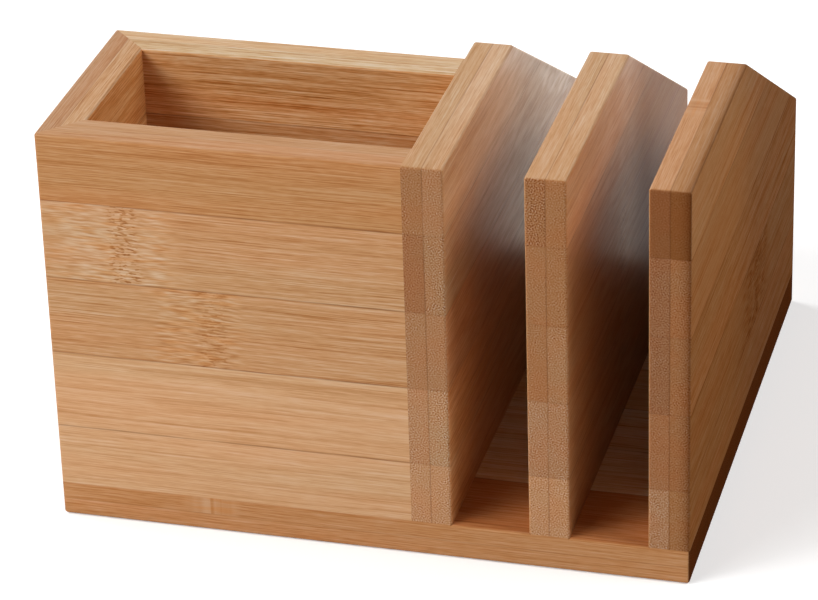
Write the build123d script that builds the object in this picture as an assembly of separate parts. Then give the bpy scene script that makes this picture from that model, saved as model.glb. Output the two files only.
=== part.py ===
"""Bamboo desk organizer: an open pen box and three sloped dividers on one base board.

All sizes are in millimetres. The origin is the middle of the base's underside. +X runs
along the front from the pen box to the last divider, +Y from front to back and +Z up.
The pieces are laid out from the base's front left bottom corner and moved at the end.
"""
import os
from math import radians, tan

from build123d import *

# Overall size
LENGTH = 157.0
DEPTH = 146.0
HEIGHT = 104.0

# Boards, each of two equal plies glued face to face
BASE_THICKNESS = 9.0
WALL_THICKNESS = 10.0
DIVIDER_THICKNESS = 10.0

# Pen box and dividers
BOX_DEPTH = 61.0            # outside, from the front wall's face to the back wall's face
DIVIDER_COUNT = 3
SLOT_WIDTH = 19.0           # clear width between two dividers
LEVEL_TOP_DEPTH = 70.5      # how far back a divider's top stays level
BACK_SLOPE = 30.0           # degrees, from there down to its back edge

# Sanding of every outer edge after glue-up
EDGE_RADIUS = 0.7

# Countersunk wood screws, driven up through the base
SCREW_LENGTH = 25.0
SCREW_RADIUS = 1.5
SCREW_TIP_LENGTH = 3.0
SCREW_HEAD_RADIUS = 2.9
SCREW_HEAD_RIM = 0.3
SCREW_HEAD_ANGLE = 45.0     # degrees between the cone of the head and the screw's axis
SCREW_SINK = 0.3            # how far a head lies inside the underside
SCREW_END_DISTANCE = 22.0   # from the end of a board to its first screw
CROSS_LENGTH = 3.0
CROSS_WIDTH = 0.8
CROSS_DEPTH = 1.1

# Dowels that join the front and back walls to divider 1
DOWEL_RADIUS = 2.5
DOWEL_LENGTH = 20.0
DOWEL_CHAMFER = 0.6
DOWEL_IN_DIVIDER = 6.0
DOWEL_END_GAP = 0.5         # glue pocket past each end of a dowel
DOWEL_EDGE_DISTANCE = 20.0  # from the top and bottom edges of a wall

# Places that follow from the sizes above
DIVIDER_PITCH = DIVIDER_THICKNESS + SLOT_WIDTH
DIVIDER_LEFTS = [
    LENGTH - DIVIDER_THICKNESS - DIVIDER_PITCH * steps
    for steps in reversed(range(DIVIDER_COUNT))
]
WALL_END = DIVIDER_LEFTS[0]
BACK_EDGE_HEIGHT = HEIGHT - (DEPTH - LEVEL_TOP_DEPTH) * tan(radians(BACK_SLOPE))
WALL_LINES = [WALL_THICKNESS / 2, BOX_DEPTH - WALL_THICKNESS / 2]
CORNER_TO_ORIGIN = Pos(-LENGTH / 2, -DEPTH / 2, 0)


def block(low, high):
    """A box between its lowest and its highest corner."""
    size = [top - bottom for bottom, top in zip(low, high)]
    return Pos(*low) * Box(*size, align=(Align.MIN,) * 3)


def prism(outline, bottom, top):
    """An outline in plan, raised from bottom to top."""
    face = Pos(0, 0, bottom) * Polygon(*outline, align=None)
    return extrude(face, amount=top - bottom, dir=(0, 0, 1))


def turned(outline):
    """A half section of (radius, height) points, turned about Z."""
    return revolve(Plane.XZ * Polygon(*outline, align=None), axis=Axis.Z)


def divider_body(left):
    """A whole divider: level top, then sloped down to its back edge."""
    outline = [
        (0, BASE_THICKNESS),
        (DEPTH, BASE_THICKNESS),
        (DEPTH, BACK_EDGE_HEIGHT),
        (LEVEL_TOP_DEPTH, HEIGHT),
        (0, HEIGHT),
    ]
    side = Plane.YZ.offset(left) * Polygon(*outline, align=None)
    return extrude(side, amount=DIVIDER_THICKNESS, dir=(1, 0, 0))


def glued_up_body():
    """Everything of bamboo as one body, with its outer edges sanded."""
    body = block((0, 0, 0), (LENGTH, DEPTH, BASE_THICKNESS))
    body += block((0, 0, BASE_THICKNESS), (WALL_END, BOX_DEPTH, HEIGHT))
    body -= block(
        (WALL_THICKNESS, WALL_THICKNESS, BASE_THICKNESS),
        (WALL_END, BOX_DEPTH - WALL_THICKNESS, HEIGHT),
    )
    for left in DIVIDER_LEFTS:
        body += divider_body(left)
    outer_edges = [edge for edge in body.edges() if not edge.is_interior]
    return fillet(outer_edges, radius=EDGE_RADIUS)


def screw_outline(bottom):
    """Half section of a screw, or of its bore if bottom is the underside."""
    rim_top = SCREW_SINK + SCREW_HEAD_RIM
    cone_height = (SCREW_HEAD_RADIUS - SCREW_RADIUS) / tan(radians(SCREW_HEAD_ANGLE))
    tip = SCREW_SINK + SCREW_LENGTH
    return [
        (0, bottom),
        (SCREW_HEAD_RADIUS, bottom),
        (SCREW_HEAD_RADIUS, rim_top),
        (SCREW_RADIUS, rim_top + cone_height),
        (SCREW_RADIUS, tip - SCREW_TIP_LENGTH),
        (0, tip),
    ]


def screw():
    """One countersunk screw with a cross recess, pointing up."""
    body = turned(screw_outline(SCREW_SINK))
    recess = Box(CROSS_LENGTH, CROSS_WIDTH, 2 * CROSS_DEPTH)
    recess += Box(CROSS_WIDTH, CROSS_LENGTH, 2 * CROSS_DEPTH)
    return body - Pos(0, 0, SCREW_SINK) * recess


def screw_places():
    """(x, y) of every screw: under the glue line of the board that it holds."""
    places = [(WALL_THICKNESS / 2, BOX_DEPTH / 2)]
    for line in WALL_LINES:
        places += [(SCREW_END_DISTANCE, line), (WALL_END - SCREW_END_DISTANCE, line)]
    for left in DIVIDER_LEFTS:
        line = left + DIVIDER_THICKNESS / 2
        places += [(line, SCREW_END_DISTANCE), (line, DEPTH - SCREW_END_DISTANCE)]
    return places


def dowel_places():
    """(y, z) of every dowel, in the middle of the wall's thickness."""
    low = BASE_THICKNESS + DOWEL_EDGE_DISTANCE
    high = HEIGHT - DOWEL_EDGE_DISTANCE
    return [(line, level) for line in WALL_LINES for level in (low, high)]


def dowel(end_gap):
    """One dowel along X, reaching end_gap past its own ends."""
    length = DOWEL_LENGTH + 2 * end_gap
    middle = WALL_END + DOWEL_IN_DIVIDER - DOWEL_LENGTH / 2
    return Pos(middle, 0, 0) * Rot(0, 90, 0) * Cylinder(DOWEL_RADIUS, length)


def bores():
    """Every hole for a screw or a dowel."""
    screw_bore = turned(screw_outline(0))
    dowel_bore = dowel(DOWEL_END_GAP)
    cuts = [Pos(x, y, 0) * screw_bore for x, y in screw_places()]
    cuts += [Pos(0, y, z) * dowel_bore for y, z in dowel_places()]
    return cuts


def plies(thickness, *names):
    """(name, start, end) of a board's plies across its thickness."""
    ply = thickness / len(names)
    return [(name, ply * step, ply * (step + 1)) for step, name in enumerate(names)]


def base_zones():
    """The base's plies, from the underside up."""
    return {
        f"base_{name}_ply": block((0, 0, start), (LENGTH, DEPTH, end))
        for name, start, end in plies(BASE_THICKNESS, "lower", "upper")
    }


def wall_zones():
    """The pen box's plies, from the outside in, mitred at both left corners."""
    zones = {}
    for name, out, into in plies(WALL_THICKNESS, "outer", "inner"):
        back_out = BOX_DEPTH - out
        back_into = BOX_DEPTH - into
        outlines = {
            "front": [(out, out), (WALL_END, out), (WALL_END, into), (into, into)],
            "left": [(out, out), (into, into), (into, back_into), (out, back_out)],
            "back": [
                (out, back_out),
                (into, back_into),
                (WALL_END, back_into),
                (WALL_END, back_out),
            ],
        }
        for side, outline in outlines.items():
            zones[f"{side}_wall_{name}_ply"] = prism(outline, BASE_THICKNESS, HEIGHT)
    return zones


def divider_zones():
    """The dividers' plies, from left to right."""
    zones = {}
    for number, left in enumerate(DIVIDER_LEFTS, start=1):
        for name, start, end in plies(DIVIDER_THICKNESS, "left", "right"):
            low = (left + start, 0, BASE_THICKNESS)
            high = (left + end, DEPTH, HEIGHT)
            zones[f"divider_{number}_{name}_ply"] = block(low, high)
    return zones


def bamboo_plies():
    """The sanded body, bored and parted at its glue lines and joints."""
    body = glued_up_body() - bores()
    zones = base_zones() | wall_zones() | divider_zones()
    return {name: body & zone for name, zone in zones.items()}


def fastener_groups():
    """The screws and the dowels, each kind as one group of solids."""
    one_screw = screw()
    plain_dowel = dowel(0)
    ends = plain_dowel.edges().filter_by(GeomType.CIRCLE)
    one_dowel = chamfer(ends, length=DOWEL_CHAMFER)
    screws = [Pos(x, y, 0) * one_screw for x, y in screw_places()]
    dowels = [Pos(0, y, z) * one_dowel for y, z in dowel_places()]
    return {"base_screws": Compound(screws), "wall_dowels": Compound(dowels)}


os.makedirs("parts", exist_ok=True)
for node, shape in (bamboo_plies() | fastener_groups()).items():
    export_step(CORNER_TO_ORIGIN * shape, f"parts/{node}.step")
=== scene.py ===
"""Bamboo desk organizer: the looks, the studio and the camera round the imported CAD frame.

Every CAD node keeps its shape and gets a procedural material. All lengths are in metres, in
the frame's own axes: +X runs along the front, +Y to the back and +Z up. Sizes that end in
_MM are in millimetres, which is how the boards are described.
"""

from math import cos, radians, sin

import bpy
from mathutils import Matrix, Vector

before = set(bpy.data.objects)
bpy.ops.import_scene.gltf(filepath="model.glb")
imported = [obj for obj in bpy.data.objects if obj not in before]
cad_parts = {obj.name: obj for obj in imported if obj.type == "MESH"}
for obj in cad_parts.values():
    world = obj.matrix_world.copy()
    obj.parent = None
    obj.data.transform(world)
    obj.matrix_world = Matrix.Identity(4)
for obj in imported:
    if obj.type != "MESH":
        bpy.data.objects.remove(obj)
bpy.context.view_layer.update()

MM = 0.001
X, Y, Z = 0, 1, 2

# The corner of the base that the boards' places are measured from, in the frame.
CORNER_MM = (-78.5, -73.0, 0.0)

# The camera, solved from the corners of the photograph.
IMAGE_WIDTH = 818
SENSOR_WIDTH = 36.0
FOCAL_PIXELS = 3796.9
CAMERA_PLACE = Vector((0.220964, -0.825270, 0.486908))
CAMERA_FORWARD = Vector((-0.236417, 0.849592, -0.471488))
CAMERA_RIGHT = Vector((0.966959, 0.253352, -0.028334))
CLIP_RANGE = (0.01, 100.0)

# The lamps are round soft boxes that stand this far from the point that they are turned to.
# Each has its degrees round from the front to the right, its degrees up, and its watts.
LIT_POINT = Vector((0.0, 0.0, 0.05))
LAMP_DISTANCE = 1.25
LAMP_SIZE = 0.6
LAMPS = {
    "left_front": (-55.0, 38.0, 7.6),
    "left_back": (-110.0, 38.0, 6.4),
    "front_left": (-35.0, 35.0, 3.9),
    "right": (82.0, 45.5, 6.6),
    "right_back": (120.0, 42.0, 3.1),
}

# The fill is the light that comes evenly from all round, and the lift is what the floor adds
# to its own shadow. The floor lies a hair below the object, so that their faces don't meet.
FILL_LEVEL = 0.045
FLOOR_LIFT = 0.30
FLOOR_REACH = 3.0
FLOOR_DROP = 0.0002
FLOOR_COLOUR = (0.90, 0.90, 0.90)
WHITE = (1.0, 1.0, 1.0)

# How the strips of bamboo are laid up. The first seam's place counts from the bottom of the
# upright boards, and from the front of the base. A seam and a glue line are full over the core
# of their width.
STRIP_PITCH_MM = 20.45
WALL_SEAM_MM = 4.8
BASE_SEAM_MM = 2.4
SEAM_WIDTH_MM = 0.30
GLUE_WIDTH_MM = 0.26
LINE_CORE = 0.3

# How far a face's normal points along an axis when the face begins to count as turned that way,
# and when it fully does. Then how far apart the noise of two plies and of two strips lies, and
# how often and how far the fibres sway.
TURNED = (0.3, 0.9)
SEED_STEP = 17.31
STRIP_JUMP = (90.0, 70.0, 70.0)
SWAYS_PER_MM = 0.012
SWAY_MM = 1.4

# Where the darker tint of a board's far end, which is painted shade, takes over from that of its
# near end, along the grain.
FAR_FROM_MM = 75.0
FAR_FULL_MM = 76.0

# A divider's wide face from front to back: the tint of the back comes in, which is painted shade
# on dividers 1 and 2 and a painted sheen on divider 3, and the lacquer starts behind the edge,
# where hands have rubbed it off, and then grows duller.
BACK_FROM_MM = 45.0
BACK_FULL_MM = 95.0
RUBBED_MM = 4.0
LACQUER_FULL_MM = 48.0
DULL_FROM_MM = 62.0
DULL_FULL_MM = 92.0

# The pale band below a divider's sloped edge: its height at the front if it ran on, how far
# it falls for each millimetre to the back, its middle along the board, how far it reaches to
# each side of that, and how far up and down. A reach is where it starts to fade and where it
# ends. The noise in its own band breaks it into patches.
PALE_BAND_TOP_MM = 131.5
PALE_BAND_FALL = 0.5
PALE_BAND_PLACE_MM = 117.0
PALE_BAND_REACH_MM = (12.0, 22.0)
PALE_BAND_HEIGHT_MM = (1.0, 5.5)
PALE_BAND_NOISE = (0.35, 0.60)
PALE_BAND_PATCHES = (0.10, 0.55)

# The middle band of a noise, which is taken to the full span of what it steers.
NARROW_BAND = (0.38, 0.62)
WIDE_BAND = (0.35, 0.65)
WIDEST_BAND = (0.3, 0.7)

# How strongly each layer of the long fibres changes the tone, and how much of that the narrow
# sides and the ends lose.
BROAD_STREAKS = 0.16
MEDIUM_STREAKS = 0.34
FINE_STREAKS = 0.56
SHORT_STREAKS = 0.46
FLECKS = 0.26
SIDES_CALMER_BY = 0.45
ENDS_CALMER_BY = 0.85

# The thin veins: how near to its middle the slow noise makes one, the part of another noise
# over which it comes in, and its tone.
VEIN_BAND = (0.010, 0.055)
VEIN_SHOWN = (0.42, 0.62)
VEIN_TONE = -0.17

# A knuckle: how near a strip's number has to be to its own, how far and how often its column
# bends, the core of the column, the part of each reach over which its zone is full, the length
# and width of the broken streaks and of the dark dashes, and what they do to the tone.
SAME_STRIP = 0.4
KNUCKLE_BEND_MM = 5.0
KNUCKLE_BENDS_PER_MM = 0.30
KNUCKLE_CORE_MM = (2.0, 5.0)
KNUCKLE_FULL = 0.4
BROKEN_SIZE_MM = (4.5, 0.48)
BROKEN_STREAKS = 1.05
BROKEN_MEDIUM = 0.25
DASH_SIZE_MM = (1.5, 0.46)
DASH_BAND = (0.52, 0.66)
DASH_TONE = -0.42
BLOTCH_BAND = (0.50, 0.62)

# The stipple of the ends: its ripples and its finer grain, across the strip and through it, how
# much of each there is, the level that is neither pale nor dark, the patches over which it is
# weaker or stronger, and its strength at the glue with what it gains up to the skin.
RIPPLE_SIZE_MM = (1.3, 1.2)
RIPPLE_FREQUENCY = 2.0
RIPPLE_SHARE = 0.9
GRAIN_PER_MM = (2.4, 2.0)
GRAIN_SHARE = 0.6
STIPPLE_LEVEL = 0.75
STIPPLE_PATCHES = (0.8, 1.1)
STIPPLE_PATCHES_PER_MM = 0.16
STIPPLE_AT_GLUE = 0.85
STIPPLE_SKIN_GAIN = 0.3

# How far the seams and the glue fade in and out along their way, how often they do, and how
# much of a seam the ends lose.
SEAM_PATCHES = (0.15, 0.95)
SEAM_PATCHES_PER_MM = 0.045
GLUE_PATCHES = (0.35, 1.0)
GLUE_PATCHES_PER_MM = (0.03, 0.05)
LINE_BAND = (0.36, 0.62)
SEAM_FAINTER_BY = 0.62

# Bamboo from its darkest streak to its palest, and what lies over it.
BAMBOO_TONES = [
    (0.00, (0.250, 0.073, 0.012)),
    (0.25, (0.377, 0.156, 0.045)),
    (0.50, (0.500, 0.262, 0.112)),
    (0.75, (0.573, 0.369, 0.215)),
    (1.00, (0.636, 0.480, 0.350)),
]
WASH_TINT = (1.03, 0.95, 0.90)
BLOTCH_TINT = (1.02, 0.93, 0.80)
JOINT_TINT = (0.55, 0.45, 0.36)
PALE_BAND_COLOUR = (0.62, 0.52, 0.44)
GROOVE_STRENGTH = 0.5
GROOVE_DEPTH_MM = 0.04
MEDIUM_GROOVES = 0.6
JOINT_GROOVES = 1.2
BAMBOO_ROUGHNESS = (0.40, 0.50)
END_ROUGHER_BY = 0.35
LACQUER_COLOUR = (1.00, 0.87, 0.74)
LACQUER_WORN_TO = 0.55
LACQUER_IOR = 1.5
LACQUER_ROUGHNESS = 0.28

# Tints against the plain bamboo. A strip's wide face has one, with the contrast of its streaks.
NO_TINT = (1.0, 1.0, 1.0)
PLAIN = (NO_TINT, 1.0)
PALE = ((1.27, 1.41, 1.66), 0.66)
HONEY = ((1.10, 1.13, 1.18), 1.0)
AMBER = ((1.01, 0.92, 0.79), 1.0)
RUSSET = ((0.92, 0.82, 0.74), 0.9)
SANDY = ((1.28, 1.38, 1.42), 0.9)
CHESTNUT = ((0.95, 0.72, 0.60), 0.9)
OATEN = ((1.27, 1.56, 2.15), 0.8)
BUFF = ((0.94, 0.96, 1.03), 1.0)
RUDDY = ((1.11, 0.97, 0.85), 1.2)
DUSKY = ((0.98, 0.86, 0.83), 1.2)
# The next two, on divider 2's right face, are the wood's tint with painted shade in it.
DRAB_PAINTED_SHADE = ((0.75, 0.64, 0.57), 1.0)
DUN_PAINTED_SHADE = ((0.88, 0.79, 0.75), 1.0)
GLOWING = ((1.38, 1.38, 1.32), 1.55)
GOLDEN = ((1.19, 1.03, 0.80), 1.25)
EMBER = ((1.13, 1.06, 0.98), 1.4)
TAWNY = ((1.20, 1.29, 1.43), 0.7)
# The next, on the top strip of divider 3's right face, is paler and bluer: the wood's tint with a
# painted sheen in it.
FLAX_PAINTED_SHEEN = ((1.38, 1.60, 1.98), 0.7)

# The end where a strip is cut across has one, with the strength of its dots.
END_PALE = ((1.02, 1.02, 1.13), 1.1)
END_HOARY = ((0.90, 0.95, 1.07), 1.5)
END_WHEAT = ((0.92, 0.89, 0.97), 1.1)
END_STRAW = ((0.83, 0.80, 0.88), 1.3)
END_TAN = ((0.79, 0.74, 0.76), 1.05)
END_BROWN = ((0.74, 0.64, 0.59), 1.0)
END_SPECKLED = ((0.68, 0.57, 0.50), 2.0)
END_FROSTED = ((0.76, 0.75, 0.78), 1.5)
END_RUST = ((0.68, 0.57, 0.53), 1.0)
END_DIM = ((0.58, 0.47, 0.44), 1.15)
END_DARK = ((0.47, 0.33, 0.23), 0.6)

# The base's right end against its left end: painted shade, which darkens the whole right end.
FAR_END_PAINTED_SHADE = (0.24, 0.15, 0.09)

# The narrow sides, which show at the top of an upright ply and at the front of the base.
TOP_CREAM = (1.07, 1.40, 1.86)
TOP_FAWN = (0.93, 1.05, 1.24)
TOP_ROSE = (0.89, 0.90, 0.98)
TOP_BROWN = (0.79, 0.79, 0.88)
EDGE_AMBER = (1.08, 0.99, 0.95)
EDGE_SAND = (1.10, 1.04, 1.04)

# A divider's outer face against the glued one, which is painted shade, how steeply that tint
# comes in through the ply, and a divider's back against its front: painted shade on dividers 1
# and 2, and a painted sheen on divider 3.
SKIN_PAINTED_SHADE = (0.45, 0.34, 0.245)
SKIN_STEEPNESS = 3.0
BACK_PAINTED_SHADE = (0.62, 0.64, 0.66)
BACK_GREY_PAINTED_SHADE = (0.76, 0.78, 0.80)
BACK_PAINTED_SHEEN = (0.85, 0.90, 1.08)

# The zinc of the screws and the birch of the dowels. A relief is its strength and its depth in
# millimetres.
ZINC_TONES = [(0.3, (0.50, 0.50, 0.48)), (0.7, (0.70, 0.70, 0.68))]
ZINC_ROUGHNESS = (0.28, 0.42)
ZINC_MOTTLES_PER_M = (900.0, 900.0, 900.0)
ZINC_SCRATCHES_PER_M = (400.0, 6000.0, 400.0)
ZINC_RELIEF = (0.3, 0.02)
BIRCH_TONES = [(0.30, (0.50, 0.34, 0.19)), (0.55, (0.66, 0.49, 0.30)), (0.75, (0.74, 0.58, 0.38))]
BIRCH_ROUGHNESS = (0.62, 0.78)
BIRCH_FLECKS_PER_M = (60.0, 1400.0, 1400.0)
BIRCH_RELIEF = (0.4, 0.05)


class Tree:
    """The node tree of a material or a world, with a short call for each kind of node."""

    def __init__(self, owner):
        self.owner = owner
        owner.use_nodes = True
        self.nodes = owner.node_tree.nodes
        self.links = owner.node_tree.links
        self.nodes.clear()

    def feed(self, socket, value):
        """Links another socket to this one, or writes a plain value or an opaque colour on it."""
        if isinstance(value, bpy.types.NodeSocket):
            self.links.new(value, socket)
        elif socket.type == "RGBA":
            socket.default_value = (*value, 1.0)
        else:
            socket.default_value = value

    def add(self, kind, **settings):
        node = self.nodes.new(kind)
        for key, value in settings.items():
            setattr(node, key, value)
        return node

    def fed(self, node, *values):
        """The node, with the values on its first inputs in their order."""
        for socket, value in zip(node.inputs, values):
            self.feed(socket, value)
        return node

    def named(self, node, inputs):
        """The node, with its inputs fed by their names."""
        for name, value in inputs.items():
            self.feed(node.inputs[name], value)
        return node

    def math(self, operation, *values):
        return self.fed(self.add("ShaderNodeMath", operation=operation), *values).outputs[0]

    def vector(self, operation, *values):
        node = self.add("ShaderNodeVectorMath", operation=operation)
        return self.fed(node, *values).outputs[0]

    def combine(self, x, y, z):
        return self.fed(self.add("ShaderNodeCombineXYZ"), x, y, z).outputs[0]

    def separate(self, vector):
        return self.fed(self.add("ShaderNodeSeparateXYZ"), vector).outputs

    def coordinates(self, kind):
        return self.add("ShaderNodeTexCoord").outputs[kind]

    def rescale(self, value, low, high, to_low=0.0, to_high=1.0, smooth=False):
        """Takes low..high to to_low..to_high, and holds it there outside."""
        interpolation = "SMOOTHSTEP" if smooth else "LINEAR"
        node = self.add("ShaderNodeMapRange", interpolation_type=interpolation)
        return self.fed(node, value, low, high, to_low, to_high).outputs[0]

    def distance(self, value, middle):
        return self.math("ABSOLUTE", self.math("SUBTRACT", value, middle))

    def noise(self, where, detail=2.0, roughness=0.5):
        return self.named(self.add("ShaderNodeTexNoise"), {
            "Vector": where, "Scale": 1.0, "Detail": detail, "Roughness": roughness,
        }).outputs[0]

    def ripples(self, where, frequency):
        """Short ripples that run every way, 0 to 1, from the vector's X and Y."""
        return self.named(self.add("ShaderNodeTexGabor", gabor_type="2D"), {
            "Vector": where, "Scale": 1.0, "Frequency": frequency, "Anisotropy": 0.0,
        }).outputs["Value"]

    def blend(self, factor, one, other, kind="MIX"):
        node = self.add("ShaderNodeMix", data_type="RGBA", blend_type=kind)
        sockets = (node.inputs[0], node.inputs[6], node.inputs[7])
        for socket, value in zip(sockets, (factor, one, other)):
            self.feed(socket, value)
        return node.outputs[2]

    def tinted(self, factor, colour, tint):
        """The colour, multiplied by the tint as far as the factor says."""
        return self.blend(factor, colour, tint, "MULTIPLY")

    def stops(self, factor, kind, stops):
        node = self.add("ShaderNodeValToRGB")
        node.color_ramp.interpolation = kind
        elements = node.color_ramp.elements
        while len(elements) < len(stops):
            elements.new(0.5)
        for element, (place, colour) in zip(elements, stops):
            element.position = place
            element.color = (*colour, 1.0) if len(colour) == 3 else colour
        return self.fed(node, factor)

    def ramp(self, factor, stops):
        """Colours that run into each other: stops are (place, colour)."""
        return self.stops(factor, "LINEAR", stops).outputs[0]

    def steps(self, factor, stops):
        """Colours that each hold up to the next place. Returns the node, for its alpha."""
        return self.stops(factor, "CONSTANT", stops)

    def bump(self, strength, depth_mm, height):
        return self.named(self.add("ShaderNodeBump"), {
            "Strength": strength, "Distance": depth_mm * MM, "Height": height,
        }).outputs[0]

    def shader(self, kind, inputs):
        return self.named(self.add(kind), inputs).outputs[0]

    def output(self, surface, kind="Material"):
        """Makes this the surface, and returns the material or the world."""
        self.feed(self.add("ShaderNodeOutput" + kind).inputs["Surface"], surface)
        return self.owner


class Ply:
    """What one ply's material works from: places in millimetres, faces and strips, as sockets."""

    def __init__(self, tree, grain, across, through, glue_mm, skin_mm, seam_mm, seed):
        self.tree = tree
        self.seed = seed
        point = tree.separate(tree.coordinates("Object"))
        self.along, self.across, self.through = [
            tree.math("MULTIPLY_ADD", point[axis], 1.0 / MM, -CORNER_MM[axis])
            for axis in (grain, across, through)
        ]

        # whether a face cuts the fibres across, or is the narrow side of a strip
        normal = tree.separate(tree.coordinates("Normal"))
        self.end, self.narrow = [
            tree.rescale(tree.math("ABSOLUTE", normal[axis]), *TURNED, smooth=True)
            for axis in (grain, across)
        ]
        self.wide = tree.math("SUBTRACT", 1.0, self.narrow)

        # the strips, counted from the bottom or the front, and the place from 0 to 1 within one
        place = tree.math("DIVIDE", tree.math("SUBTRACT", self.across, seam_mm), STRIP_PITCH_MM)
        self.strip = tree.math("FLOOR", place)
        self.within = tree.math("FRACT", place)

        # each strip's own jump in the noise, so that no two strips look alike
        shuffle = tree.add("ShaderNodeTexWhiteNoise", noise_dimensions="1D")
        tree.feed(shuffle.inputs["W"], tree.math("ADD", self.strip, seed * SEED_STEP))
        self.jump = tree.vector("MULTIPLY", shuffle.outputs["Color"], STRIP_JUMP)

        # 0 at the glue and 1 at the outer face, which was the skin of the cane
        self.skin = tree.rescale(self.through, glue_mm, skin_mm)
        self.glue_gap = tree.distance(self.through, glue_mm)

        # the fibres wander a little to each side as they run along the strip
        drift = tree.combine(tree.math("MULTIPLY", self.along, SWAYS_PER_MM), 0.0, 0.0)
        sway = tree.noise(tree.vector("ADD", drift, self.jump), detail=1.0)
        self.swayed = tree.math("MULTIPLY_ADD", sway, SWAY_MM, self.across)

    def fibres(self, length, width, roughness=0.5, offset=0.0, detail=1.0):
        """Noise drawn out along the grain, about length by width in millimetres. The offset
        sets one noise apart from another."""
        tree = self.tree
        where = tree.combine(
            tree.math("MULTIPLY", self.along, 1.0 / length),
            tree.math("MULTIPLY", self.swayed, 1.0 / width),
            tree.math("MULTIPLY_ADD", self.through, 1.0 / width, offset),
        )
        return tree.noise(tree.vector("ADD", where, self.jump), detail, roughness)

    def dashes(self, length, width, offset):
        """Noise in short dashes of about length by width in millimetres, the same in every
        strip."""
        tree = self.tree
        return tree.noise(tree.combine(tree.math("MULTIPLY", self.along, 1.0 / length),
                                       tree.math("MULTIPLY", self.swayed, 1.0 / width),
                                       offset), detail=1.0)

    def add_streaks(self, tone, noise, strength):
        """Adds a noise to the tone, to both sides of it. strength is a number or a socket."""
        tree = self.tree
        return tree.math("MULTIPLY_ADD", tree.math("SUBTRACT", noise, 0.5), strength, tone)

    def choose(self, choices):
        """Each strip's own entry of (tint, number), as sockets. The first is for the lowest or
        the front strip, and for what lies before the first seam."""
        tree = self.tree
        count = len(choices)
        middle = tree.math("DIVIDE", tree.math("ADD", self.strip, 0.5), float(count))
        node = tree.steps(middle, [(index / count, (*tint, number))
                                   for index, (tint, number) in enumerate(choices)])
        return node.outputs[0], node.outputs[1]


def streaks(ply, contrast):
    """The tone of the long fibres about 0: the darker streaks lie below it. Also returns the
    fine and the medium noise."""
    tree = ply.tree
    fine = ply.fibres(length=30.0, width=0.27, roughness=0.6)
    short = ply.fibres(length=9.0, width=0.34, roughness=0.6, offset=83.0)
    flecks = ply.fibres(length=3.0, width=0.30, offset=91.0)
    medium = ply.fibres(length=60.0, width=0.52, roughness=0.55, offset=11.0)
    broad = ply.fibres(length=220.0, width=2.6, offset=23.0, detail=2.0)
    calm = tree.math("MULTIPLY_ADD", ply.narrow, -SIDES_CALMER_BY, 1.0)

    # thin darker veins, where a slow noise crosses its middle, and only along parts of their way
    crossing = tree.distance(ply.fibres(length=200.0, width=2.4, offset=51.0), 0.5)
    vein = tree.rescale(crossing, *VEIN_BAND, VEIN_TONE, 0.0)
    shown = tree.rescale(ply.fibres(length=60.0, width=2.4, offset=67.0), *VEIN_SHOWN)
    vein = tree.math("MULTIPLY", vein, shown)

    tone = ply.add_streaks(0.0, broad, BROAD_STREAKS)
    tone = ply.add_streaks(tone, medium, MEDIUM_STREAKS)
    tone = tree.math("MULTIPLY", tree.math("ADD", tone, vein), calm)
    tone = ply.add_streaks(tone, fine, FINE_STREAKS)
    tone = ply.add_streaks(tone, short, SHORT_STREAKS)
    tone = ply.add_streaks(tone, flecks, FLECKS)
    return tree.math("MULTIPLY", tone, contrast), fine, medium


def knuckled(ply, tone, medium, knuckles):
    """The tone with the places where the cane had a joint. Each is a column of short dark dashes
    in one strip, in a zone where the long streaks break up and the tone may be paler.
    A knuckle is (strip, place along it, reach before, reach after, strength, paler by), with
    the place and the reaches in millimetres. Also returns where blotches lie in those zones,
    0 to 1."""
    tree = ply.tree
    bend = tree.combine(ply.seed * 3.7, tree.math("MULTIPLY", ply.across, KNUCKLE_BENDS_PER_MM),
                        0.0)
    shifted = tree.math("MULTIPLY_ADD", tree.noise(bend), KNUCKLE_BEND_MM,
                        tree.math("SUBTRACT", ply.along, 0.5 * KNUCKLE_BEND_MM))
    broken = ply.dashes(*BROKEN_SIZE_MM, ply.seed * 2.3)
    broken = ply.add_streaks(0.0, broken, BROKEN_STREAKS)
    broken = ply.add_streaks(broken, medium, BROKEN_MEDIUM)
    dash = ply.dashes(*DASH_SIZE_MM, ply.seed * 5.1)
    dash = tree.rescale(dash, *DASH_BAND, 0.0, DASH_TONE)
    blotch = ply.fibres(length=8.0, width=1.1, offset=29.0)
    blotch = tree.rescale(blotch, *BLOTCH_BAND, smooth=True)
    blotches = 0.0
    for number, place, before, after, strength, paler in knuckles:
        here = tree.math("COMPARE", ply.strip, float(number), SAME_STRIP)
        opens = tree.rescale(shifted, place - before, place - KNUCKLE_FULL * before, smooth=True)
        closes = tree.rescale(shifted, place + KNUCKLE_FULL * after, place + after, 1.0, 0.0,
                              smooth=True)
        zone = tree.math("MULTIPLY", tree.math("MULTIPLY", opens, closes), here)
        core = tree.rescale(tree.distance(shifted, place), *KNUCKLE_CORE_MM, strength, 0.0,
                            smooth=True)
        core = tree.math("MULTIPLY", core, here)
        change = tree.math("ADD", tree.math("SUBTRACT", broken, tone), paler)
        tone = tree.math("MULTIPLY_ADD", change, zone, tone)
        tone = tree.math("MULTIPLY_ADD", dash, core, tone)
        blotches = tree.math("MULTIPLY_ADD", blotch, zone, blotches)
    return tone, blotches


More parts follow.
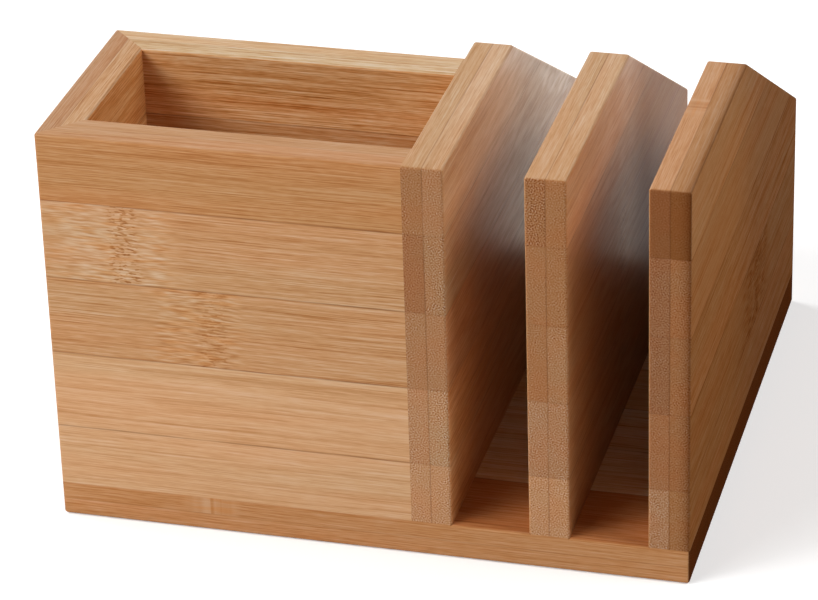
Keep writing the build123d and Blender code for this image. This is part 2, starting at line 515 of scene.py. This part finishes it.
def end_dots(ply, strength):
    """The bundles of fibres where they are cut across: an even stipple, pale on dark, that is a
    little stronger towards the skin."""
    tree = ply.tree
    where = tree.combine(tree.math("MULTIPLY", ply.across, 1.0 / RIPPLE_SIZE_MM[0]),
                         tree.math("MULTIPLY", ply.through, 1.0 / RIPPLE_SIZE_MM[1]), 0.0)
    ripples = tree.ripples(tree.vector("ADD", where, ply.jump), RIPPLE_FREQUENCY)
    grain = tree.combine(tree.math("MULTIPLY", ply.across, GRAIN_PER_MM[0]),
                         tree.math("MULTIPLY", ply.through, GRAIN_PER_MM[1]), ply.seed * 1.9)
    grain = tree.noise(grain, detail=2.0, roughness=0.6)
    dots = tree.math("MULTIPLY", ripples, RIPPLE_SHARE)
    dots = tree.math("MULTIPLY_ADD", grain, GRAIN_SHARE, dots)
    dots = tree.math("SUBTRACT", dots, STIPPLE_LEVEL)
    patchy = tree.combine(
        0.0, tree.math("MULTIPLY", ply.across, STIPPLE_PATCHES_PER_MM),
        tree.math("MULTIPLY_ADD", ply.through, STIPPLE_PATCHES_PER_MM, ply.seed))
    patchy = tree.rescale(tree.noise(patchy, detail=1.0), *WIDE_BAND, *STIPPLE_PATCHES)
    strength = tree.math("MULTIPLY", strength, patchy)
    skin = tree.math("MULTIPLY_ADD", ply.skin, STIPPLE_SKIN_GAIN, STIPPLE_AT_GLUE)
    return tree.math("MULTIPLY", dots, tree.math("MULTIPLY", strength, skin))


def joint_lines(ply, glue_strength):
    """The seams between the strips of the ply, and the glue between the two plies: 0 to 1."""
    tree = ply.tree
    edge = tree.math("MINIMUM", ply.within, tree.math("SUBTRACT", 1.0, ply.within))
    edge = tree.math("MULTIPLY", edge, STRIP_PITCH_MM)
    seam = tree.rescale(edge, LINE_CORE * SEAM_WIDTH_MM, SEAM_WIDTH_MM, 1.0, 0.0, smooth=True)
    patchy = tree.combine(tree.math("MULTIPLY", ply.along, SEAM_PATCHES_PER_MM), ply.strip,
                          ply.seed)
    patchy = tree.rescale(tree.noise(patchy, detail=1.0), *LINE_BAND, *SEAM_PATCHES)
    seam = tree.math("MULTIPLY", seam, patchy)
    kept = tree.math("MULTIPLY_ADD", ply.end, -SEAM_FAINTER_BY, 1.0)
    seam = tree.math("MULTIPLY", seam, kept)

    glue = tree.rescale(ply.glue_gap, LINE_CORE * GLUE_WIDTH_MM, GLUE_WIDTH_MM,
                        glue_strength, 0.0, smooth=True)
    patchy = tree.combine(tree.math("MULTIPLY", ply.along, GLUE_PATCHES_PER_MM[0]),
                          tree.math("MULTIPLY", ply.across, GLUE_PATCHES_PER_MM[1]), ply.seed)
    patchy = tree.rescale(tree.noise(patchy, detail=1.0), *LINE_BAND, *GLUE_PATCHES)
    return tree.math("MAXIMUM", seam, tree.math("MULTIPLY", glue, patchy))


def pale_band(ply):
    """A broken pale band on a divider's wide face, just below its sloped edge: 0 to 1."""
    tree = ply.tree
    middle = tree.math("MULTIPLY_ADD", ply.along, -PALE_BAND_FALL, PALE_BAND_TOP_MM)
    band = tree.math(
        "MULTIPLY",
        tree.rescale(tree.distance(ply.across, middle), *PALE_BAND_HEIGHT_MM, 1.0, 0.0, smooth=True),
        tree.rescale(tree.distance(ply.along, PALE_BAND_PLACE_MM), *PALE_BAND_REACH_MM, 1.0, 0.0,
                     smooth=True))
    broken = ply.fibres(length=9.0, width=1.6, roughness=0.6, offset=43.0)
    broken = tree.rescale(broken, *PALE_BAND_NOISE, *PALE_BAND_PATCHES)
    return tree.math("MULTIPLY", tree.math("MULTIPLY", band, broken), ply.wide)


def lacquered(ply, surface, normal, polish, share, back_share):
    """An amber satin lacquer over the ply: worn in streaks, rubbed off towards the front, and
    duller towards the back."""
    tree = ply.tree
    fade = tree.rescale(ply.along, RUBBED_MM, LACQUER_FULL_MM, smooth=True)
    worn = ply.fibres(length=12.0, width=1.4, roughness=0.6, offset=5.0)
    worn = tree.rescale(worn, *WIDE_BAND, LACQUER_WORN_TO, 1.0)
    dull = tree.rescale(ply.along, DULL_FROM_MM, DULL_FULL_MM, share, back_share, smooth=True)
    cover = tree.math("MULTIPLY", tree.math("MULTIPLY", worn, fade),
                      tree.math("MULTIPLY", dull, polish))
    fresnel = tree.shader("ShaderNodeFresnel", {"IOR": LACQUER_IOR, "Normal": normal})
    gloss = tree.shader("ShaderNodeBsdfAnisotropic", {
        "Color": LACQUER_COLOUR, "Roughness": LACQUER_ROUGHNESS, "Normal": normal,
    })
    both = tree.add("ShaderNodeMixShader")
    return tree.fed(both, tree.math("MULTIPLY", fresnel, cover), surface, gloss).outputs[0]


def surfaced(ply, colour, height, medium, gloss, lacquer):
    """The ply's surface: polished along the grain, and sanded but unpolished at the ends."""
    tree = ply.tree
    polish = tree.math("SUBTRACT", 1.0, ply.end)
    normal = tree.bump(GROOVE_STRENGTH, GROOVE_DEPTH_MM, height)
    roughness = tree.rescale(medium, *WIDEST_BAND, *BAMBOO_ROUGHNESS)
    surface = tree.shader("ShaderNodeBsdfPrincipled", {
        "Base Color": colour,
        "Roughness": tree.math("MULTIPLY_ADD", ply.end, END_ROUGHER_BY, roughness),
        "Specular IOR Level": gloss,
        "Normal": normal,
    })
    if lacquer:
        surface = lacquered(ply, surface, normal, polish, *lacquer)
    return tree.output(surface)


def bamboo(name, grain, across, through, glue_mm, skin_mm, seed, faces, ends, narrow_tint=NO_TINT,
           skin_shade_tint=NO_TINT, back_shade_and_sheen_tint=NO_TINT, far_end_shade_tint=NO_TINT, knuckles=(),
           seam_mm=WALL_SEAM_MM, glue_line=0.7, gloss=0.15, lacquer=None, pale_banded=False):
    """Laminated bamboo: strips side by side in one ply of a board.

    grain, across and through are the axes along the fibres, across the strips and through the
    ply. glue_mm is where the ply meets the other ply, and skin_mm its outer face. faces holds
    each strip's tint and the contrast of its streaks, and ends its tint where it is cut across
    and the strength of its dots.
    narrow_tint is for the narrow sides, skin_shade_tint for the outer face against the glued one,
    which is painted shade, back_shade_and_sheen_tint for the wide faces at the back against the
    front, which is painted shade on some plies and a painted sheen on another, and
    far_end_shade_tint, which is painted shade, for the end at the far side, to the right or at
    the back, against the near one.
    seam_mm is where the first seam lies, and glue_line how strongly the glue shows. lacquer is
    how much of the outer face it still covers, in front and at the back. A pale_banded ply has a
    broken pale band below its sloped edge."""
    tree = Tree(bpy.data.materials.new(name))
    ply = Ply(tree, grain, across, through, glue_mm, skin_mm, seam_mm, seed)
    face_tint, contrast = ply.choose(faces)
    end_tint, dot_strength = ply.choose(ends)
    # The far end takes a darker tint: painted shade.
    if far_end_shade_tint != NO_TINT:
        far = tree.rescale(ply.along, FAR_FROM_MM, FAR_FULL_MM)
        end_tint = tree.tinted(far, end_tint, far_end_shade_tint)

    # tone: 0 is the darkest streak and 1 the palest
    tone, fine, medium = streaks(ply, contrast)
    if knuckles:
        tone, blotches = knuckled(ply, tone, medium, knuckles)
    calm = tree.math("MULTIPLY_ADD", ply.end, -ENDS_CALMER_BY, 1.0)
    tone = tree.math("MULTIPLY_ADD", tone, calm, 0.5)
    tone = tree.math("MULTIPLY_ADD", end_dots(ply, dot_strength), ply.end, tone)
    colour = tree.ramp(tone, BAMBOO_TONES)

    wash = ply.fibres(length=120.0, width=9.0, offset=37.0)
    colour = tree.tinted(tree.rescale(wash, *NARROW_BAND), colour, WASH_TINT)
    if knuckles:
        colour = tree.tinted(blotches, colour, BLOTCH_TINT)
    tint = tree.blend(ply.narrow, face_tint, narrow_tint)
    tint = tree.blend(ply.end, tint, end_tint)
    colour = tree.tinted(1.0, colour, tint)
    # The outer face darkens through the ply towards its skin: painted shade.
    if skin_shade_tint != NO_TINT:
        skin = tree.math("POWER", ply.skin, SKIN_STEEPNESS)
        colour = tree.tinted(skin, colour, skin_shade_tint)
    # The back of a wide face takes a tint: painted shade on dividers 1 and 2, and a painted sheen
    # on divider 3.
    if back_shade_and_sheen_tint != NO_TINT:
        back = tree.rescale(ply.along, BACK_FROM_MM, BACK_FULL_MM, smooth=True)
        colour = tree.tinted(tree.math("MULTIPLY", back, ply.wide), colour, back_shade_and_sheen_tint)
    if pale_banded:
        colour = tree.blend(pale_band(ply), colour, PALE_BAND_COLOUR)
    joint = joint_lines(ply, glue_line)
    colour = tree.tinted(joint, colour, JOINT_TINT)

    height = tree.math("MULTIPLY_ADD", medium, MEDIUM_GROOVES, fine)
    height = tree.math("MULTIPLY_ADD", joint, -JOINT_GROOVES, height)
    return surfaced(ply, colour, height, medium, gloss, lacquer)


def zinc(name):
    """Zinc-plated steel with the faint mottling of the plating."""
    tree = Tree(bpy.data.materials.new(name))
    point = tree.coordinates("Object")
    mottle = tree.noise(tree.vector("MULTIPLY", point, ZINC_MOTTLES_PER_M), detail=3.0)
    scratch = tree.noise(tree.vector("MULTIPLY", point, ZINC_SCRATCHES_PER_M))
    return tree.output(tree.shader("ShaderNodeBsdfPrincipled", {
        "Base Color": tree.ramp(mottle, ZINC_TONES),
        "Metallic": 1.0,
        "Roughness": tree.rescale(mottle, *WIDEST_BAND, *ZINC_ROUGHNESS),
        "Normal": tree.bump(*ZINC_RELIEF, scratch),
    }))


def birch(name):
    """Pale dowel wood, with short flecks along the dowels' length."""
    tree = Tree(bpy.data.materials.new(name))
    point = tree.coordinates("Object")
    flecks = tree.noise(tree.vector("MULTIPLY", point, BIRCH_FLECKS_PER_M), detail=3.0)
    return tree.output(tree.shader("ShaderNodeBsdfPrincipled", {
        "Base Color": tree.ramp(flecks, BIRCH_TONES),
        "Roughness": tree.rescale(flecks, *WIDEST_BAND, *BIRCH_ROUGHNESS),
        "Normal": tree.bump(*BIRCH_RELIEF, flecks),
    }))


def give(node, material):
    """The CAD node's only material slot gets this material."""
    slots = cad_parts[node].material_slots
    if not slots:
        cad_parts[node].data.materials.append(material)
    for entry in slots:
        entry.link = "OBJECT"
        entry.material = material


def base_looks():
    """The two plies of the base, whose strips run along the front."""
    # The base's right end is darkened with painted shade.
    base = dict(grain=X, across=Y, through=Z, glue_mm=4.5, seam_mm=BASE_SEAM_MM, glue_line=0.3,
                gloss=0.0, ends=[END_RUST] * 8, far_end_shade_tint=FAR_END_PAINTED_SHADE)
    return {
        "base_lower_ply": dict(
            base, skin_mm=0.0, seed=1, faces=[RUSSET] * 8, narrow_tint=EDGE_SAND,
            knuckles=[(4, 60.0, 12.0, 12.0, 0.9, 0.0)]),
        "base_upper_ply": dict(
            base, skin_mm=9.0, seed=2, narrow_tint=EDGE_AMBER,
            faces=[CHESTNUT, OATEN, OATEN, TAWNY, OATEN, TAWNY, OATEN, TAWNY],
            knuckles=[(-1, 39.0, 10.0, 8.0, 0.5, 0.0), (5, 50.0, 14.0, 14.0, 0.9, 0.0)]),
    }


def box_looks():
    """The plies of the pen box's front, left and back walls."""
    inner = [SANDY, PALE, SANDY, HONEY, SANDY]
    wall = dict(across=Z, ends=[END_TAN, END_BROWN, END_TAN, END_BROWN, END_RUST])
    front = dict(wall, grain=X, through=Y, glue_mm=5.0, narrow_tint=TOP_ROSE, glue_line=0.3)
    left = dict(wall, grain=Y, through=X, glue_mm=5.0, glue_line=0.4)
    back = dict(wall, grain=X, through=Y, glue_mm=56.0, narrow_tint=TOP_CREAM, glue_line=0.3)
    return {
        "front_wall_outer_ply": dict(
            front, skin_mm=0.0, seed=3, faces=[PALE, PALE, HONEY, HONEY, AMBER],
            knuckles=[(3, 20.5, 26.0, 17.0, 1.0, 0.10), (2, 41.5, 22.0, 10.0, 0.45, 0.0)]),
        "front_wall_inner_ply": dict(front, skin_mm=10.0, seed=4, faces=inner),
        "left_wall_outer_ply": dict(
            left, skin_mm=0.0, seed=5, faces=[HONEY, PALE, HONEY, AMBER, HONEY],
            narrow_tint=TOP_BROWN, knuckles=[(2, 30.0, 16.0, 14.0, 0.9, 0.05)]),
        "left_wall_inner_ply": dict(
            left, skin_mm=10.0, seed=6, faces=[GOLDEN] * 5, narrow_tint=TOP_FAWN),
        "back_wall_inner_ply": dict(
            back, skin_mm=51.0, seed=7, faces=[GLOWING, GLOWING, GLOWING, EMBER, GLOWING]),
        "back_wall_outer_ply": dict(
            back, skin_mm=61.0, seed=8, faces=[HONEY, PLAIN, PALE, HONEY, AMBER],
            knuckles=[(2, 60.0, 16.0, 14.0, 0.9, 0.05)]),
    }


def divider_looks():
    """The plies of the three dividers, whose strips run from front to back."""
    divider = dict(grain=Y, across=Z, through=X, faces=[SANDY, PALE, SANDY, HONEY, SANDY],
                   narrow_tint=TOP_FAWN)
    return {
        "divider_1_left_ply": dict(
            divider, glue_mm=94.0, skin_mm=89.0, seed=9,
            ends=[END_PALE, END_WHEAT, END_TAN, END_RUST, END_BROWN],
            knuckles=[(1, 90.0, 16.0, 14.0, 0.9, 0.0)]),
        # Divider 1's right face grows darker towards the back: painted shade.
        "divider_1_right_ply": dict(
            divider, glue_mm=94.0, skin_mm=99.0, seed=10,
            faces=[RUDDY, RUDDY, DUSKY, BUFF, BUFF],
            ends=[END_PALE, END_HOARY, END_TAN, END_FROSTED, END_TAN],
            gloss=0.2, lacquer=(1.0, 0.70), back_shade_and_sheen_tint=BACK_PAINTED_SHADE, pale_banded=True),
        "divider_2_left_ply": dict(
            divider, glue_mm=123.0, skin_mm=118.0, seed=11,
            ends=[END_PALE, END_STRAW, END_BROWN, END_BROWN, END_SPECKLED],
            knuckles=[(3, 30.0, 16.0, 14.0, 0.9, 0.0)]),
        # Divider 2's right face is the wood's tint with painted shade in it, darker still towards
        # the back.
        "divider_2_right_ply": dict(
            divider, glue_mm=123.0, skin_mm=128.0, seed=12,
            faces=[DRAB_PAINTED_SHADE, DRAB_PAINTED_SHADE, DRAB_PAINTED_SHADE, DRAB_PAINTED_SHADE, DUN_PAINTED_SHADE],
            ends=[END_PALE, END_STRAW, END_TAN, END_BROWN, END_BROWN],
            gloss=0.1, lacquer=(0.60, 0.05), back_shade_and_sheen_tint=BACK_GREY_PAINTED_SHADE,
            knuckles=[(2, 62.0, 10.0, 10.0, 0.8, 0.0)]),
        "divider_3_left_ply": dict(
            divider, glue_mm=152.0, skin_mm=147.0, seed=13, narrow_tint=TOP_ROSE,
            ends=[END_STRAW, END_RUST, END_DIM, END_DIM, END_DARK],
            knuckles=[(4, 44.8, 8.0, 6.0, 0.6, 0.0)]),
        # Divider 3's outer face carries painted shade, and the back of it a painted sheen.
        "divider_3_right_ply": dict(
            divider, glue_mm=152.0, skin_mm=157.0, seed=14, narrow_tint=TOP_BROWN,
            faces=[PLAIN, PLAIN, HONEY, TAWNY, FLAX_PAINTED_SHEEN],
            ends=[END_BROWN, END_RUST, END_RUST, END_RUST, END_DARK],
            gloss=0.0, skin_shade_tint=SKIN_PAINTED_SHADE, back_shade_and_sheen_tint=BACK_PAINTED_SHEEN,
            knuckles=[(1, 88.0, 26.0, 22.0, 0.35, -0.13)]),
    }


def dress_nodes():
    """Each ply gets its own bamboo, the screws zinc and the dowels birch."""
    for node, looks in (base_looks() | box_looks() | divider_looks()).items():
        give(node, bamboo(node + "_bamboo", **looks))
    give("base_screws", zinc("zinc_plate"))
    give("wall_dowels", birch("birch_dowel"))


def add_camera():
    data = bpy.data.cameras.new("camera")
    data.sensor_width = SENSOR_WIDTH
    data.lens = FOCAL_PIXELS * SENSOR_WIDTH / IMAGE_WIDTH
    data.clip_start, data.clip_end = CLIP_RANGE
    camera = bpy.data.objects.new("camera", data)
    bpy.context.scene.collection.objects.link(camera)
    up = CAMERA_RIGHT.cross(CAMERA_FORWARD)
    turn = Matrix((CAMERA_RIGHT, up, -CAMERA_FORWARD)).transposed()
    camera.matrix_world = Matrix.Translation(CAMERA_PLACE) @ turn.to_4x4()
    bpy.context.scene.camera = camera


def seen_directly(tree):
    """1 for what the camera sees straight, in gloss or through glass, and 0 for soft light."""
    path = tree.add("ShaderNodeLightPath")
    seen = tree.math("MAXIMUM", path.outputs["Is Camera Ray"], path.outputs["Is Glossy Ray"])
    return tree.math("MAXIMUM", seen, path.outputs["Is Transmission Ray"])


def add_floor():
    """A plain pale floor that keeps the object's shadow and is white to the camera elsewhere."""
    mesh = bpy.data.meshes.new("floor")
    corners = [(x * FLOOR_REACH, y * FLOOR_REACH, 0.0)
               for x, y in ((-1, -1), (1, -1), (1, 1), (-1, 1))]
    mesh.from_pydata(corners, [], [(0, 1, 2, 3)])
    floor = bpy.data.objects.new("floor", mesh)
    bpy.context.scene.collection.objects.link(floor)
    floor.location.z = -FLOOR_DROP
    tree = Tree(bpy.data.materials.new("pale_floor"))
    surface = tree.shader("ShaderNodeBsdfDiffuse", {"Color": FLOOR_COLOUR})
    lift = tree.shader("ShaderNodeEmission", {
        "Color": WHITE, "Strength": tree.math("MULTIPLY", seen_directly(tree), FLOOR_LIFT),
    })
    both = tree.fed(tree.add("ShaderNodeAddShader"), surface, lift).outputs[0]
    mesh.materials.append(tree.output(both))


def add_world():
    """A dim even fill, and a white background to the camera and to gloss."""
    world = bpy.data.worlds.new("studio")
    bpy.context.scene.world = world
    tree = Tree(world)
    level = tree.rescale(seen_directly(tree), 0.0, 1.0, FILL_LEVEL, 1.0)
    tree.output(tree.shader("ShaderNodeBackground", {"Color": WHITE, "Strength": level}), "World")


def add_lamp(name, azimuth, elevation, power):
    """A round soft box that faces the object, at degrees round from the front to the right and
    degrees up."""
    round_by, up_by = radians(azimuth), radians(elevation)
    toward = Vector((sin(round_by) * cos(up_by), -cos(round_by) * cos(up_by), sin(up_by)))
    data = bpy.data.lights.new(name, "AREA")
    data.shape = "DISK"
    data.size = LAMP_SIZE
    data.energy = power
    lamp = bpy.data.objects.new(name, data)
    bpy.context.scene.collection.objects.link(lamp)
    lamp.location = LIT_POINT + toward * LAMP_DISTANCE
    lamp.rotation_euler = (-toward).to_track_quat("-Z", "Y").to_euler()


dress_nodes()
add_floor()
add_world()
for lamp_name, lamp_place in LAMPS.items():
    add_lamp(lamp_name, *lamp_place)
add_camera()
bpy.context.scene.view_settings.view_transform = "Standard"
